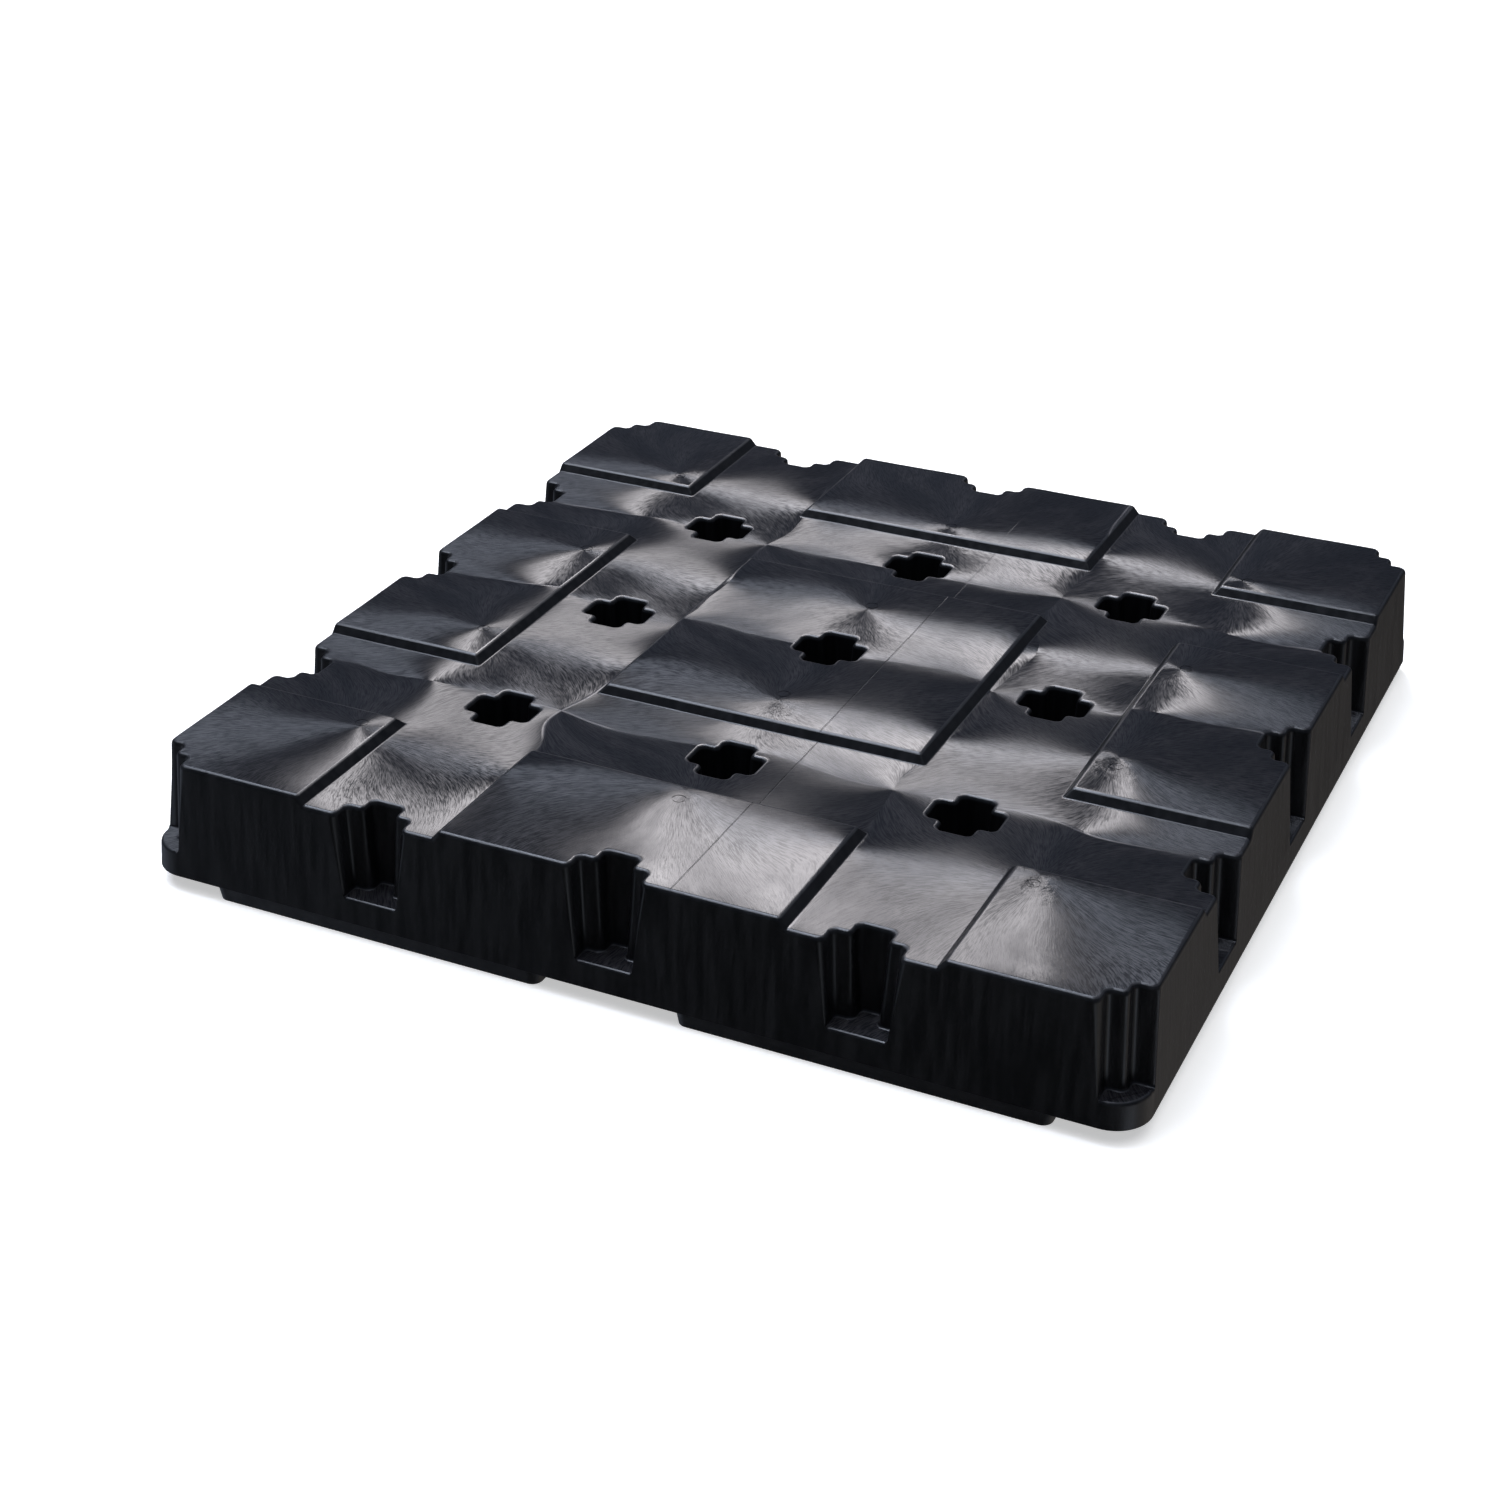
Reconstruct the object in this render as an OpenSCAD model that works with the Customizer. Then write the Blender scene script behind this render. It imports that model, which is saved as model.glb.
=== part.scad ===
/* [Deck] */
// Width and length of the deck across its foot, the widest place
base_w = 1100; // [1000:10:1200]
// Width and length of the deck across the top of its pads
top_w = 1083; // [985:1:1195]
// Height from the floor to the top of the pads
total_h = 150; // [140:1:170]
// Height of the band that runs round the foot of the deck, above the skids
band_h = 29; // [22:1:35]
// Radius of the four corners of that band
corner_r = 40; // [20:1:45]
// Thickness of the moulded skin and of the side walls
wall = 6; // [4:0.5:8]
// Thickness of the ribs under the deck
rib_t = 4; // [3:0.5:6]

/* [Pads and channels] */
// Height of the nine pads above the channels
pad_rise = 10; // [4:1:14]
// Width of the floor of each channel
channel_w = 151; // [120:1:160]
// Run of the slope between a pad and a channel
bevel_run = 8; // [2:1:14]

/* [Plus-shaped pockets] */
// Distance between pockets; the outer ones are cut through by the edge
pitch = 269; // [264:1:271]
// Overall width of a pocket at the top of a pad
pocket_w = 75.6; // [60:0.2:84]
// Width of one arm of a pocket at the top of a pad
arm_w = 37.2; // [30:0.2:44]
// How much each wall of a pocket leans in, from pad top to pocket floor
pocket_draft = 6; // [2:0.5:8]
// Thickness of the wall and floor round a pocket
pocket_wall = 5; // [3:0.5:6]
// Diameter of the drain in the floor of the nine inner pockets
drain_d = 12; // [6:1:16]

/* [Skids] */
// Height of a skid, from the floor to the underside of the deck
skid_h = 17.5; // [15:0.5:22]
// Width of a skid where it meets the deck
skid_w = 392; // [376:1:396]
// Length of a skid, front to back
skid_len = 1096; // [1040:2:1098]
// Distance of each skid's centre line from the middle
skid_x = 270; // [266:1:274]
// How much narrower each side of a skid is at the floor
skid_draft = 3; // [1:0.5:4]
// Radius of a skid's corners
skid_r = 14; // [8:1:20]
// Thickness of a skid's sole and walls
skid_wall = 5; // [4:0.5:7]
// Depth of the grip grooves in the sole
groove_depth = 1.5; // [0.5:0.5:2]

/* [Tubes and screws] */
// Width of a steel tube
tube_w = 40; // [30:1:44]
// Height of a steel tube
tube_h = 22; // [16:1:23]
// Wall thickness of a steel tube
tube_t = 2; // [1.5:0.5:3]
// Length of a steel tube
tube_len = 1030; // [980:2:1040]
// Thickness of the flange of a plug
plug_flange = 3; // [2:0.5:4]
// Length of the part of a plug inside the tube
plug_depth = 18; // [10:1:30]
// Outside diameter of a screw's thread
screw_d = 7; // [6:0.5:8]
// Length of a screw under its head
screw_len = 48; // [40:1:60]

/* [Hidden] */
$fn = 48;

// levels above the floor
deck_z = skid_h;
ledge_z = deck_z + band_h;
channel_z = total_h - pad_rise;
over = 1;
// gap between a skid and the deck, and between a tube and what holds it
gap = 0.3;

// the pockets stand on a 5 by 5 grid, and the ribs divide each step by three
grid = [-2:2];
ribs_per_step = 3;
rib_pitch = pitch / ribs_per_step;
rib_lines = [-5:5];
skid_rib_lines = [1:5];
body_h = total_h - deck_z;
pocket_h = total_h - ledge_z;

// pad blocks inside their skin, given by centre and width along one side
pad_inner_w = 2 * (pitch - channel_w / 2 - bevel_run - wall);
outer_pad_from = pitch + channel_w / 2 + bevel_run + wall;
outer_pad_w = top_w / 2 - wall - outer_pad_from;

// screws sit on rib crossings, tubes in the bays beside them
screw_cols = [2, 4];
screw_rows = [-5, -2, 2, 5];
tube_bays = [4.5, 1.5];
boss_d = 18;
boss_h = screw_len;
hole_play = 0.1;
// plastic left above a pilot hole, so that the screw doesn't break through the boss
pilot_cap = 4;
pilot_depth = boss_h - pilot_cap;
head_d = 15;
head_flange = 2;
hex_af = 10;
hex_h = 4;
skid_hole_d = screw_d + 1;
counterbore_d = head_d + 3;
counterbore_h = 9;
tip_h = 4;
tube_r = 3;
tube_z = deck_z;
slot_w = tube_w + 2 * gap;
slot_len = tube_len + 2 * (plug_flange + gap);
plug_r = 1;
groove_w = 6;
groove_pitch = 40;
groove_count = 4;
// plain sole left between the end of a groove and the end of the skid
groove_margin = 40;
slice = 0.1;

plastic = [0.10, 0.10, 0.11];
steel = [0.62, 0.64, 0.66];
zinc = [0.72, 0.70, 0.62];

// square with round corners, as plain squares and circles
module round_square(w, l, r) {
    square([w - 2 * r, l], center = true);
    square([w, l - 2 * r], center = true);
    for (x = [-1, 1], y = [-1, 1])
        translate([x * (w / 2 - r), y * (l / 2 - r)]) circle(r);
}

// trapezium standing on y = 0
module trapezium(w_low, w_high, h) {
    polygon([[-w_low / 2, 0], [w_low / 2, 0], [w_high / 2, h], [-w_high / 2, h]]);
}

// the trapezium repeated along X and drawn out along Y
module comb_x(places, w_low, w_high, z_low, z_high) {
    translate([0, 0, z_low])
        rotate([90, 0, 0])
            linear_extrude(2 * base_w, center = true)
                for (p = places)
                    translate([p, 0]) trapezium(w_low, w_high, z_high - z_low);
}

// the same across, along Y and drawn out along X
module comb_y(places, w_low, w_high, z_low, z_high) {
    rotate([0, 0, 90]) comb_x(places, w_low, w_high, z_low, z_high);
}

// one leaning-sided block, or a whole grid of them
module tapered_blocks(places_x, places_y, x_low, x_high, y_low, y_high, z_low, z_high) {
    intersection() {
        comb_x(places_x, x_low, x_high, z_low, z_high);
        comb_y(places_y, y_low, y_high, z_low, z_high);
    }
}

// all 25 plus shapes, grown by skin on every side and down through the floor
module plus_grid(skin) {
    places = [for (i = grid) i * pitch];
    lean = 2 * pocket_draft * (1 + skin / pocket_h);
    long = pocket_w + 2 * skin;
    short = arm_w + 2 * skin;
    tapered_blocks(places, places, long - lean, long, short - lean, short,
                   ledge_z - skin, total_h);
    tapered_blocks(places, places, short - lean, short, long - lean, long,
                   ledge_z - skin, total_h);
}

// the cutter reaches past the pad tops at the same lean
module pocket_cutters() {
    plus_grid(0);
    translate([0, 0, total_h])
        linear_extrude(over)
            for (i = grid, j = grid)
                translate([i * pitch, j * pitch]) {
                    square([pocket_w, arm_w], center = true);
                    square([arm_w, pocket_w], center = true);
                }
}

module deck_outside() {
    intersection() {
        tapered_blocks([0], [0], base_w, top_w, base_w, top_w, deck_z, total_h);
        translate([0, 0, deck_z])
            linear_extrude(body_h) round_square(base_w, base_w, corner_r);
    }
}

// the hollow under the deck, before ribs, bosses and pockets are put back
module deck_hollow() {
    low = base_w - 2 * wall;
    high = top_w - 2 * wall;
    outer_places = outer_pad_from + outer_pad_w / 2;
    intersection() {
        tapered_blocks([0], [0], low, high, low, high, deck_z - over, total_h);
        translate([0, 0, deck_z - over])
            linear_extrude(body_h)
                round_square(base_w - 2 * wall, base_w - 2 * wall, corner_r - wall);
        union() {
            translate([-base_w / 2, -base_w / 2, deck_z - over])
                cube([base_w, base_w, channel_z - wall - deck_z + over]);
            for (i = [-1, 0, 1], j = [-1, 0, 1])
                translate([i * outer_places, j * outer_places, total_h / 2])
                    linear_extrude(total_h / 2 - wall)
                        square([i == 0 ? pad_inner_w : outer_pad_w,
                                j == 0 ? pad_inner_w : outer_pad_w], center = true);
        }
    }
}

module ribs() {
    difference() {
        for (turn = [0, 90])
            rotate([0, 0, turn])
                for (n = rib_lines)
                    translate([n * rib_pitch - rib_t / 2, -base_w / 2, deck_z])
                        cube([rib_t, base_w, body_h]);
        // a slot for each tube
        for (side = [-1, 1], bay = tube_bays)
            translate([side * bay * rib_pitch - slot_w / 2, -slot_len / 2, deck_z - over])
                cube([slot_w, slot_len, tube_h + gap + over]);
    }
}

module at_screws(side) {
    for (c = screw_cols, r = screw_rows)
        translate([side * c * rib_pitch, r * rib_pitch, 0]) children();
}

module bosses() {
    for (side = [-1, 1])
        at_screws(side)
            translate([0, 0, deck_z]) cylinder(d = boss_d, h = boss_h);
}

// channels run from edge to edge, two each way
module channels() {
    for (turn = [0, 90])
        rotate([0, 0, turn])
            comb_x([-pitch, pitch], channel_w, channel_w + 2 * bevel_run * (1 + over / pad_rise),
                   channel_z, total_h + over);
}

module deck() {
    color(plastic)
        difference() {
            deck_outside();
            difference() {
                deck_hollow();
                ribs();
                plus_grid(pocket_wall);
                bosses();
            }
            channels();
            pocket_cutters();
            // drains in the floors of the inner pockets
            for (i = [-1, 0, 1], j = [-1, 0, 1])
                translate([i * pitch, j * pitch, ledge_z - pocket_wall - over])
                    cylinder(d = drain_d, h = pocket_wall + 2 * over);
            for (side = [-1, 1])
                at_screws(side)
                    translate([0, 0, deck_z - over])
                        cylinder(d = screw_d + 2 * hole_play, h = pilot_depth + over);
        }
}

module skid(side) {
    inner = skid_w - 2 * skid_wall;
    color(plastic)
        translate([side * skid_x, 0, 0])
            difference() {
                hull() {
                    linear_extrude(slice)
                        round_square(skid_w - 2 * skid_draft, skid_len - 2 * skid_draft,
                                     skid_r - skid_draft);
                    translate([0, 0, skid_h - gap - slice])
                        linear_extrude(slice) round_square(skid_w, skid_len, skid_r);
                }
                // the tray above the sole, with its ribs and screw bosses left standing
                difference() {
                    translate([0, 0, skid_wall])
                        linear_extrude(skid_h)
                            round_square(inner - skid_draft, skid_len - 2 * skid_wall - skid_draft,
                                         skid_r - skid_wall);
                    for (n = skid_rib_lines)
                        translate([side * (n * rib_pitch - skid_x) - rib_t / 2, -skid_len / 2, 0])
                            cube([rib_t, skid_len, skid_h]);
                    for (n = rib_lines)
                        translate([-skid_w / 2, n * rib_pitch - rib_t / 2, 0])
                            cube([skid_w, rib_t, skid_h]);
                    translate([-side * skid_x, 0, 0])
                        at_screws(side) cylinder(d = counterbore_d + 2 * skid_wall, h = skid_h);
                }
                translate([-side * skid_x, 0, 0])
                    at_screws(side) {
                        translate([0, 0, -over]) cylinder(d = skid_hole_d, h = skid_h + 2 * over);
                        translate([0, 0, -over]) cylinder(d = counterbore_d, h = counterbore_h + over);
                    }
                // grip grooves in the sole
                for (g = [0:groove_count - 1])
                    translate([(g - (groove_count - 1) / 2) * groove_pitch - groove_w / 2,
                               groove_margin - skid_len / 2, -over])
                        cube([groove_w, skid_len - 2 * groove_margin, groove_depth + over]);
            }
}

module tube(side, bay) {
    color(steel)
        translate([side * bay * rib_pitch, tube_len / 2, tube_z + tube_h / 2])
            rotate([90, 0, 0])
                linear_extrude(tube_len)
                    difference() {
                        round_square(tube_w, tube_h, tube_r);
                        round_square(tube_w - 2 * tube_t, tube_h - 2 * tube_t, tube_r - tube_t);
                    }
}

// moulded plug: a flange over the tube's end and a hollow spigot inside it
module plug() {
    spigot_w = tube_w - 2 * tube_t - 2 * hole_play;
    spigot_h = tube_h - 2 * tube_t - 2 * hole_play;
    difference() {
        union() {
            linear_extrude(plug_flange) round_square(tube_w, tube_h, tube_r);
            translate([0, 0, -plug_depth])
                linear_extrude(plug_depth) round_square(spigot_w, spigot_h, plug_r);
        }
        translate([0, 0, -plug_depth - over])
            linear_extrude(plug_depth + over)
                round_square(spigot_w - 2 * tube_t, spigot_h - 2 * tube_t, plug_r);
    }
}

module tube_plugs(side) {
    color(plastic)
        for (bay = tube_bays, end = [0, 180])
            translate([side * bay * rib_pitch, 0, tube_z + tube_h / 2])
                rotate([0, 0, end])
                    translate([0, tube_len / 2, 0]) rotate([-90, 0, 0]) plug();
}

module skid_screws(side) {
    color(zinc)
        at_screws(side)
            translate([0, 0, counterbore_h]) {
                translate([0, 0, -head_flange]) cylinder(d = head_d, h = head_flange);
                translate([0, 0, -head_flange - hex_h])
                    cylinder(d = hex_af / cos(30), h = hex_h, $fn = 6);
                cylinder(d = screw_d, h = screw_len - tip_h);
                translate([0, 0, screw_len - tip_h])
                    cylinder(d1 = screw_d, d2 = screw_d / 2, h = tip_h);
            }
}

deck();
skid(-1);  // skid_left
skid(1);  // skid_right
tube(-1, tube_bays[0]);  // tube_left_outer
tube(-1, tube_bays[1]);  // tube_left_inner
tube(1, tube_bays[1]);  // tube_right_inner
tube(1, tube_bays[0]);  // tube_right_outer
tube_plugs(-1);  // tube_plugs_left
tube_plugs(1);  // tube_plugs_right
skid_screws(-1);  // skid_screws_left
skid_screws(1);  // skid_screws_right
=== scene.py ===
import math

import bmesh
import bpy
from mathutils import Matrix, Vector


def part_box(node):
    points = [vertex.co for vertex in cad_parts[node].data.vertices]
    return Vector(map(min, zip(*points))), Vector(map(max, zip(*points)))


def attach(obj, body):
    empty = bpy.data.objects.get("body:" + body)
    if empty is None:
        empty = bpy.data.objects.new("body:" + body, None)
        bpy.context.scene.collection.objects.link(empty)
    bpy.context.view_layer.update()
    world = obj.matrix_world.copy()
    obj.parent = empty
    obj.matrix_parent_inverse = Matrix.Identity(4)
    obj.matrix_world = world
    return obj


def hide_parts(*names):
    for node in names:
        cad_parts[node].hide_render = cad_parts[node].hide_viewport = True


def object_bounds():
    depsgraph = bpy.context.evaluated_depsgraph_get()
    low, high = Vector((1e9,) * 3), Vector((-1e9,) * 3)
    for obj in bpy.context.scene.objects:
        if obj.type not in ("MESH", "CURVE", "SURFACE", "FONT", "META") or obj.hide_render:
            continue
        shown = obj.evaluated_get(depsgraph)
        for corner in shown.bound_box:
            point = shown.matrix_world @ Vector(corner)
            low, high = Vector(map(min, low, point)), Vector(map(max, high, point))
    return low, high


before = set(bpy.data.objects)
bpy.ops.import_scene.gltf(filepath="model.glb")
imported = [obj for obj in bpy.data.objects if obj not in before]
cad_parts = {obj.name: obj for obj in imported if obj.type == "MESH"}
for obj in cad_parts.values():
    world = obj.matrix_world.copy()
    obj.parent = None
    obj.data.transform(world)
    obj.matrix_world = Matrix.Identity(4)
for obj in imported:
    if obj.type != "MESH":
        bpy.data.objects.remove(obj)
cad_low, cad_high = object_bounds()


# ---------------------------------------------------------------------------
# Camera: a long lens on a stand in front of the right corner, looking down
# across the deck.
# ---------------------------------------------------------------------------
camera_data = bpy.data.cameras.new("stand_camera")
camera_data.sensor_width = 36.0
camera_data.lens = 60.92
camera = bpy.data.objects.new("stand_camera", camera_data)
bpy.context.scene.collection.objects.link(camera)
bpy.context.scene.camera = camera
camera_turn = Matrix.Rotation(math.radians(25.229), 4, "Z")
camera_tilt = Matrix.Rotation(math.radians(90 - 28.709), 4, "X")
camera_roll = Matrix.Rotation(math.radians(0.118), 4, "Z")
camera_place = Matrix.Translation((1.0150, -2.3647, cad_high.z + 1.2763))
camera.matrix_world = camera_place @ camera_turn @ camera_tilt @ camera_roll
camera_data.clip_start = 0.05
camera_data.clip_end = 100.0


# ---------------------------------------------------------------------------
# Deck skin: one black structural-foam moulding, seen from above and from the
# sides. Nine pads stand over four channels, and a 5 by 5 grid of plus-shaped
# pockets is cut into it, the outer ones opened by the edges.
# ---------------------------------------------------------------------------
deck_low, deck_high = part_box("deck")
MM = 0.001
rim_half = deck_high.x
rim_z = deck_low.z
pad_z = deck_high.z
top_half = rim_half - 8.5 * MM
ledge_z = rim_z + 29 * MM
channel_z = pad_z - 10 * MM
pocket_pitch = 269 * MM
pocket_half = 37.8 * MM
arm_half = 18.6 * MM
pocket_lean = 6 * MM
channel_half = 75.5 * MM
pad_slope_run = 8 * MM
band_corner = 40 * MM
widest_strip = 27 * MM

pocket_centres = [i * pocket_pitch for i in (-2, -1, 0, 1, 2)]
pad_edges = [pocket_pitch - channel_half, pocket_pitch + channel_half]


def both_signs(values):
    return sorted({s * v for v in values for s in (-1, 1)})


def with_fill(lines, widest):
    """The lines, with evenly spaced ones added wherever two stand too far apart."""
    filled = [lines[0]]
    for a, b in zip(lines, lines[1:]):
        parts = max(1, math.ceil((b - a) / widest - 1e-6))
        filled += [a + (b - a) * k / parts for k in range(1, parts + 1)]
    return filled


def skin_lines():
    lines = [c + s * w for c in pocket_centres for s in (-1, 1) for w in (pocket_half, arm_half)]
    lines = [v for v in lines if abs(v) < top_half] + both_signs(pad_edges + [top_half])
    return with_fill(sorted(lines), widest_strip)


def nearest(value, choices):
    return min(choices, key=lambda c: abs(c - value))


def in_plus(x, y, grow):
    """Whether a point is in one of the 25 plus shapes, grown by so much on every side."""
    dx = abs(x - nearest(x, pocket_centres))
    dy = abs(y - nearest(y, pocket_centres))
    long, short = pocket_half + grow, arm_half + grow
    return (dx < long and dy < short) or (dx < short and dy < long)


def on_pad(x, y):
    return not any(pad_edges[0] < abs(v) < pad_edges[1] for v in (x, y))


def pocket_offset(half, z):
    """Half a pocket's width at height z: its walls lean in towards the floor."""
    return half - pocket_lean * (pad_z - z) / (pad_z - ledge_z)


def same(a, b):
    """Whether two lengths agree but for rounding."""
    return abs(a - b) < 1e-6


def skin_shift(v, z):
    """Where a line of the skin lies at height z: pockets lean in, walls lean out and pads slope."""
    if same(abs(v), top_half):
        return math.copysign(top_half + (rim_half - top_half) * (pad_z - z) / (pad_z - rim_z), v)
    if z > channel_z:
        if same(abs(v), pad_edges[0]):
            return v - math.copysign(pad_slope_run, v)
        if same(abs(v), pad_edges[1]):
            return v + math.copysign(pad_slope_run, v)
    centre = nearest(v, pocket_centres)
    for half in (pocket_half, arm_half):
        if same(abs(v - centre), half):
            return centre + math.copysign(pocket_offset(half, z), v - centre)
    return v


# the melt enters at twelve gates, and meets in weld lines halfway between them
gate_x = [-379 * MM, 0.0, 379 * MM]
gate_y = [-379 * MM, -124 * MM, 124 * MM, 379 * MM]

# how far the skin sinks as it cools, in millimetres, and how wide each hollow is
bowl_sink, ripple_sink, least_sink = 0.45, 0.35, 0.1
bowl_reach = 70 * MM
ripple_length = 134 * MM


def swell(x, y):
    """How far the skin has sunk below its nominal height, most round the gates."""
    r = math.hypot(x - nearest(x, gate_x), y - nearest(y, gate_y))
    bowl = math.exp(-(r / bowl_reach) ** 2)
    across = math.cos(2 * math.pi * x / ripple_length)
    along = math.cos(2 * math.pi * y / ripple_length)
    ripple = 0.5 + 0.5 * across * along
    return -(bowl_sink * bowl + ripple_sink * ripple + least_sink) * MM


skin_levels = [rim_z, ledge_z, channel_z, pad_z]
arc_steps = 16


def skin_level(x, y):
    if in_plus(x, y, 0):
        return 1
    return 3 if on_pad(x, y) else 2


def skin_place(a, b, k):
    z = skin_levels[k]
    x, y = skin_shift(a, z), skin_shift(b, z)
    return x, y, z + (swell(x, y) if k > 1 else 0)


def stepped(mesh, lines, level_of, place, near, radius, corner_level):
    """Square cells at their own levels, joined by upright walls. The four outer corners are round up
    to corner_level, where a floor that starts past near fills each of them. Returns its foot's vertices."""
    n = len(lines) - 1
    mids = [(a + b) / 2 for a, b in zip(lines, lines[1:])]
    level = [[level_of(x, y) for y in mids] for x in mids]
    first = min(i for i in range(n) if mids[i] > near)
    made = {}
    foot = []

    def vert(i, j, k):
        key = (i, j, k)
        if key not in made:
            made[key] = mesh.verts.new(place(lines[i], lines[j], k))
            if k == 0 and (i in (0, n) or j in (0, n)):
                foot.append(made[key])
        return made[key]

    def in_corner(i, j):
        return all(c >= first or c < n - first for c in (i, j))

    def wall(i, j, ni, nj, a, b):
        """Upright faces between a cell and a lower neighbour, along the edge from a to b."""
        inside = 0 <= ni < n and 0 <= nj < n
        for k in range(level[ni][nj] if inside else 0, level[i][j]):
            if inside or not in_corner(i, j):
                mesh.faces.new([vert(*a, k), vert(*b, k), vert(*b, k + 1), vert(*a, k + 1)])

    for i in range(n):
        for j in range(n):
            k = level[i][j]
            if not (in_corner(i, j) and k == corner_level):
                mesh.faces.new([vert(i, j, k), vert(i + 1, j, k), vert(i + 1, j + 1, k), vert(i, j + 1, k)])
            wall(i, j, i + 1, j, (i + 1, j), (i + 1, j + 1))
            wall(i, j, i - 1, j, (i, j + 1), (i, j))
            wall(i, j, i, j + 1, (i + 1, j + 1), (i, j + 1))
            wall(i, j, i, j - 1, (i, j), (i + 1, j))

    inner = min(i for i in range(first, n) if level[i][first] == corner_level)
    for sx in (1, -1):
        for sy in (1, -1):
            def at(i, j, k):
                return vert(i if sx > 0 else n - i, j if sy > 0 else n - j, k)

            def side(k):
                edge, _, z = place(lines[n], 0.0, k)
                middle = edge - radius
                arc = []
                for s in range(arc_steps + 1):
                    t = math.pi / 2 * s / arc_steps
                    arc.append(mesh.verts.new((sx * (middle + radius * math.cos(t)),
                                               sy * (middle + radius * math.sin(t)), z)))
                if k == 0:
                    foot.extend(arc)
                return [at(n, first, k)] + arc + [at(first, n, k)]

            rings = [side(k) for k in range(corner_level + 1)]
            for low, high in zip(rings, rings[1:]):
                for q in range(len(low) - 1):
                    mesh.faces.new([low[q], low[q + 1], high[q + 1], high[q]])
            c = corner_level
            path = [(first, j) for j in range(n - 1, inner - 1, -1)]
            path += [(i, inner) for i in range(first + 1, inner + 1)]
            path += [(inner, j) for j in range(inner - 1, first - 1, -1)]
            path += [(i, first) for i in range(inner + 1, n)]
            mesh.faces.new(rings[-1] + [at(i, j, c) for i, j in path])
    return foot


# the upward part of a face's normal, from which it is level and up to which it is upright
level_from = 0.95
upright_to = 0.25
margin = 1 * MM


def leaning(face):
    """A pad's slope, neither level nor upright."""
    return upright_to < abs(face.normal.z) < level_from


def level(face):
    return abs(face.normal.z) >= level_from


def upright(face):
    return abs(face.normal.z) <= upright_to


def face_out(mesh):
    bmesh.ops.recalc_face_normals(mesh, faces=mesh.faces)
    mesh.normal_update()


def round_edges(mesh, wanted, tangent, segments):
    """Rounds the edges that wanted says yes to; tangent is how far it reaches along each face."""
    edges = [e for e in mesh.edges if len(e.link_faces) == 2 and wanted(e, *e.link_faces)]
    bmesh.ops.bevel(mesh, geom=edges, offset=tangent, offset_type="OFFSET", segments=segments,
                    profile=0.5, affect="EDGES", clamp_overlap=False, miter_outer="SHARP",
                    miter_inner="SHARP", loop_slide=True)
    face_out(mesh)


def sharp(e, degrees):
    return e.calc_face_angle(0.0) > math.radians(degrees)


def stands(e):
    """Whether an edge rises steeply, and by more than a pad's own rounding."""
    a, b = (v.co for v in e.verts)
    rise = abs(a.z - b.z)
    return rise > 6 * MM and rise > 3 * math.hypot(a.x - b.x, a.y - b.y)


def on_outside(e):
    return all(max(abs(v.co.x), abs(v.co.y)) > top_half - margin for v in e.verts)


def at_height(e, low, high):
    return all(low < v.co.z < high for v in e.verts)


def is_plan_corner(e, f, g):
    return upright(f) and upright(g) and stands(e) and sharp(e, 60)


def is_outer_corner(e, f, g):
    return is_plan_corner(e, f, g) and on_outside(e)


def is_slope_corner(e, f, g):
    return leaning(f) and leaning(g) and sharp(e, 30) and e.is_convex


def is_slope_end(e, f, g):
    return sharp(e, 30) and ((leaning(f) and level(g)) or (leaning(g) and level(f)))


def is_pad_top(e, f, g):
    return is_slope_end(e, f, g) and e.is_convex


def is_pad_foot(e, f, g):
    return is_slope_end(e, f, g) and not e.is_convex


def is_lip(e, f, g):
    return sharp(e, 50) and at_height(e, channel_z - 3 * MM, pad_z + margin) and upright(f) != upright(g)


def is_pocket_floor(e, f, g):
    return sharp(e, 50) and at_height(e, ledge_z - margin, ledge_z + margin) and level(f) != level(g)


def is_hollow_floor(e, f, g):
    return is_pocket_floor(e, f, g) and not e.is_convex


def merge_flat_walls(mesh):
    """Joins the upright strips of each wall into one face, so that roundings can end cleanly in it."""
    flat = [e for e in mesh.edges if len(e.link_faces) == 2
            and upright(e.link_faces[0]) and upright(e.link_faces[1]) and not sharp(e, 1)]
    bmesh.ops.dissolve_edges(mesh, edges=flat, use_verts=True, use_face_split=False)
    mesh.normal_update()


# which edges are rounded, in this order, how far along each face, and in how many strips
roundings = [(is_outer_corner, 9 * MM, 5),
             (is_plan_corner, 6.5 * MM, 5),
             (is_slope_corner, 3 * MM, 3),
             (is_pad_top, 3 * MM, 3),
             (is_pad_foot, 1.2 * MM, 2),
             (is_lip, 5 * MM, 4),
             (is_hollow_floor, 3 * MM, 3),
             (is_pocket_floor, 3.5 * MM, 3)]

shell = bmesh.new()
stepped(shell, skin_lines(), skin_level, skin_place, pocket_centres[4] - pocket_half, band_corner, 1)
face_out(shell)
merge_flat_walls(shell)
for wanted, tangent, segments in roundings:
    round_edges(shell, wanted, tangent, segments)


# ---------------------------------------------------------------------------
# Underside of the deck, in the same shot of plastic: 6 mm walls, ribs on a
# third of the pocket pitch, the backs of the pockets, slots for four tubes
# and sixteen bosses for the screws.
# ---------------------------------------------------------------------------
wall = 6 * MM
rib_half = 2 * MM
pocket_wall = 5 * MM
rib_pitch = pocket_pitch / 3
rib_places = [n * rib_pitch for n in range(-5, 6)]
tube_low, tube_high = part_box("tube_right_outer")
inner_tube_low, inner_tube_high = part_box("tube_right_inner")
slot_play = 0.3 * MM
slot_edges = [tube_low.x - slot_play, tube_high.x + slot_play,
              inner_tube_low.x - slot_play, inner_tube_high.x + slot_play]
under_levels = [rim_z, tube_high.z + slot_play, ledge_z - pocket_wall, channel_z - wall, pad_z - wall]
skirt_half = rim_half - wall
rib_edge = 0.8 * MM

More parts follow.
